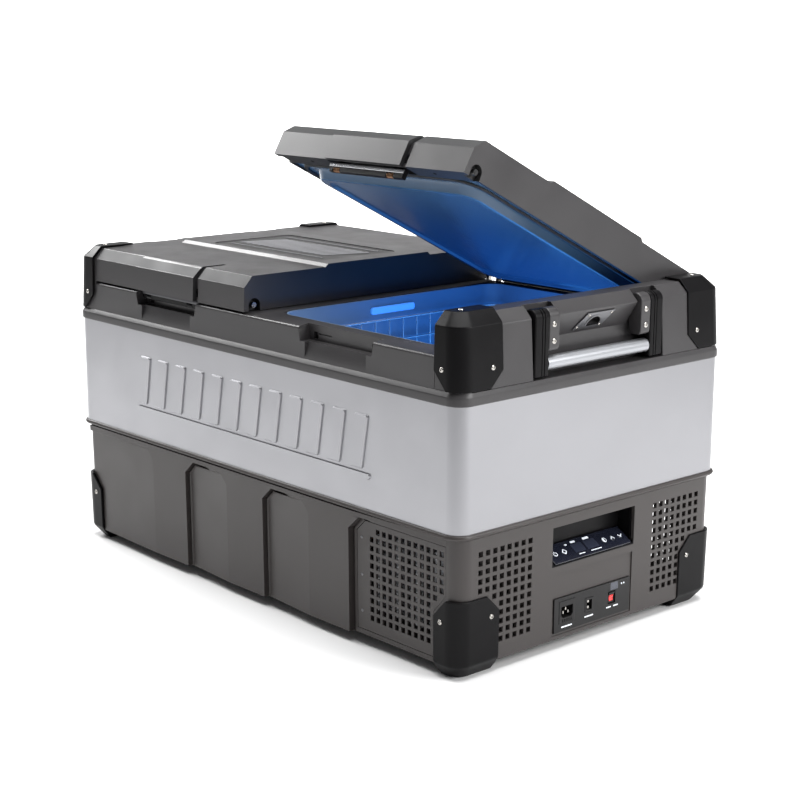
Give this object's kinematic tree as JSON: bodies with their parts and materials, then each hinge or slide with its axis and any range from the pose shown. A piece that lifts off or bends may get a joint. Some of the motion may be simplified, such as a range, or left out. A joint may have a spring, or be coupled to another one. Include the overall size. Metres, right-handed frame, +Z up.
{
  "type": "compressor cooler fridge",
  "caption": "Two-zone portable compressor fridge with silver sleeve, hinged lids, bail handles, corner guards, vents and an end control panel.",
  "frame": {"origin": "on the floor under the centre of the case", "axes": "+X towards the end with the control panel, -Y towards the long front side, +Z up"},
  "size_m": [0.937, 0.55, 0.7182],
  "materials": {
    "frame_gunmetal": "satin",
    "lower_plastic": "matte",
    "sleeve_silver": "satin",
    "guard_black": "satin",
    "grip_aluminium": "satin",
    "stainless_steel": "satin",
    "foam": "matte",
    "liner_white": "gloss",
    "gasket_rubber": "matte",
    "basket_wire": "satin",
    "light_lens": "gloss",
    "panel_black": "gloss",
    "button_grey": "satin",
    "switch_red": "gloss",
    "machine_black": "satin",
    "condenser_fins": "satin",
    "copper_pipe": "satin",
    "circuit_board": "satin"
  },
  "bodies": {
    "case": {"ac_inlet": "panel_black", "base_shell": "lower_plastic", "bottle_opener": "stainless_steel", "compressor": "machine_black", "condenser": "condenser_fins", "control_board": "circuit_board", "control_housing": "guard_black", "control_panel": "panel_black", "dc_inlet": "panel_black", "end_block_left": "frame_gunmetal", "end_block_right": "frame_gunmetal", "fan_housing": "guard_black", "front_grille": "lower_plastic", "hinge_rod_left": "stainless_steel", "hinge_rod_right": "stainless_steel", "insulation_foam": "foam", "led_light_left": "light_lens", "led_light_right": "light_lens", "liner_left": "liner_white", "liner_right": "liner_white", "lower_guard_front_left": "guard_black", "lower_guard_front_right": "guard_black", "lower_guard_rear_left": "guard_black", "lower_guard_rear_right": "guard_black", "ports_plate": "guard_black", "rear_grille": "lower_plastic", "refrigerant_line": "copper_pipe", "sleeve": "sleeve_silver", "upper_guard_front_left": "guard_black", "upper_guard_front_right": "guard_black", "upper_guard_rear_left": "guard_black", "upper_guard_rear_right": "guard_black", "upper_rim": "frame_gunmetal"},
    "lid_left": {"lid_shell_left": "frame_gunmetal", "lid_liner_left": "liner_white", "lid_gasket_left": "gasket_rubber"},
    "lid_right": {"lid_shell_right": "frame_gunmetal", "lid_liner_right": "liner_white", "lid_gasket_right": "gasket_rubber"},
    "latch_left": {"latch_bar_left": "grip_aluminium"},
    "latch_right": {"latch_bar_right": "grip_aluminium"},
    "handle_left": {"handle_left_tube": "grip_aluminium", "handle_left_arm_front": "guard_black", "handle_left_arm_rear": "guard_black", "handle_left_strap_front": "frame_gunmetal", "handle_left_strap_rear": "frame_gunmetal"},
    "handle_right": {"handle_right_tube": "grip_aluminium", "handle_right_arm_front": "guard_black", "handle_right_arm_rear": "guard_black", "handle_right_strap_front": "frame_gunmetal", "handle_right_strap_rear": "frame_gunmetal"},
    "basket_left": {"basket_left": "basket_wire"},
    "basket_right": {"basket_right": "basket_wire"},
    "fan_rotor": {"fan_rotor": "machine_black"},
    "power_switch": {"power_switch": "switch_red"},
    "button_power": {"button_power": "button_grey"},
    "button_set": {"button_set": "button_grey"},
    "button_mode": {"button_mode": "button_grey"},
    "button_up": {"button_up": "button_grey"},
    "button_down": {"button_down": "button_grey"}
  },
  "joints": [
    {"name": "lid_left_hinge", "type": "hinge", "parent": "case", "child": "lid_left", "pos_m": [-0.208, 0.248, 0.455], "axis": [-1, 0, 0], "range_deg": [0, 95]},
    {"name": "lid_right_hinge", "type": "hinge", "parent": "case", "child": "lid_right", "pos_m": [0.21075, 0.248, 0.455], "axis": [-1, 0, 0], "range_deg": [-26.6, 68.4]},
    {"name": "latch_left_pull", "type": "hinge", "parent": "lid_left", "child": "latch_left", "pos_m": [-0.208, -0.247, 0.459], "axis": [-1, 0, 0], "range_deg": [0, 12], "stiffness_Nm_per_rad": 1.2, "springref_deg": -5.73},
    {"name": "latch_right_pull", "type": "hinge", "parent": "lid_right", "child": "latch_right", "pos_m": [0.21075, -0.19282, 0.68022], "axis": [-1, 0, 0], "range_deg": [0, 12], "stiffness_Nm_per_rad": 1.2, "springref_deg": -5.73},
    {"name": "handle_left_swing", "type": "hinge", "parent": "case", "child": "handle_left", "pos_m": [-0.4527, 0, 0.4825], "axis": [0, 1, 0], "range_deg": [0, 95]},
    {"name": "handle_right_swing", "type": "hinge", "parent": "case", "child": "handle_right", "pos_m": [0.4527, 0, 0.4825], "axis": [0, -1, 0], "range_deg": [0, 95]},
    {"name": "basket_left_lift", "type": "slide", "parent": "case", "child": "basket_left", "axis": [0, 0, 1], "range_m": [0, 0.02]},
    {"name": "basket_right_lift", "type": "slide", "parent": "case", "child": "basket_right", "axis": [0, 0, 1], "range_m": [0, 0.02]},
    {"name": "fan_spin", "type": "hinge", "parent": "case", "child": "fan_rotor", "pos_m": [0.345, -0.2155, 0.112], "axis": [0, 1, 0], "continuous": true},
    {"name": "power_switch_rock", "type": "hinge", "parent": "case", "child": "power_switch", "pos_m": [0.457, 0.041, 0.0535], "axis": [0, -1, 0], "range_deg": [0, 14]},
    {"name": "button_power_press", "type": "slide", "parent": "case", "child": "button_power", "axis": [-0.5408, 0, -0.8412], "range_m": [0, 0.0008], "stiffness_N_per_m": 400},
    {"name": "button_set_press", "type": "slide", "parent": "case", "child": "button_set", "axis": [-0.5408, 0, -0.8412], "range_m": [0, 0.0008], "stiffness_N_per_m": 400},
    {"name": "button_mode_press", "type": "slide", "parent": "case", "child": "button_mode", "axis": [-0.5408, 0, -0.8412], "range_m": [0, 0.0008], "stiffness_N_per_m": 400},
    {"name": "button_up_press", "type": "slide", "parent": "case", "child": "button_up", "axis": [-0.5408, 0, -0.8412], "range_m": [0, 0.0008], "stiffness_N_per_m": 400},
    {"name": "button_down_press", "type": "slide", "parent": "case", "child": "button_down", "axis": [-0.5408, 0, -0.8412], "range_m": [0, 0.0008], "stiffness_N_per_m": 400}
  ]
}
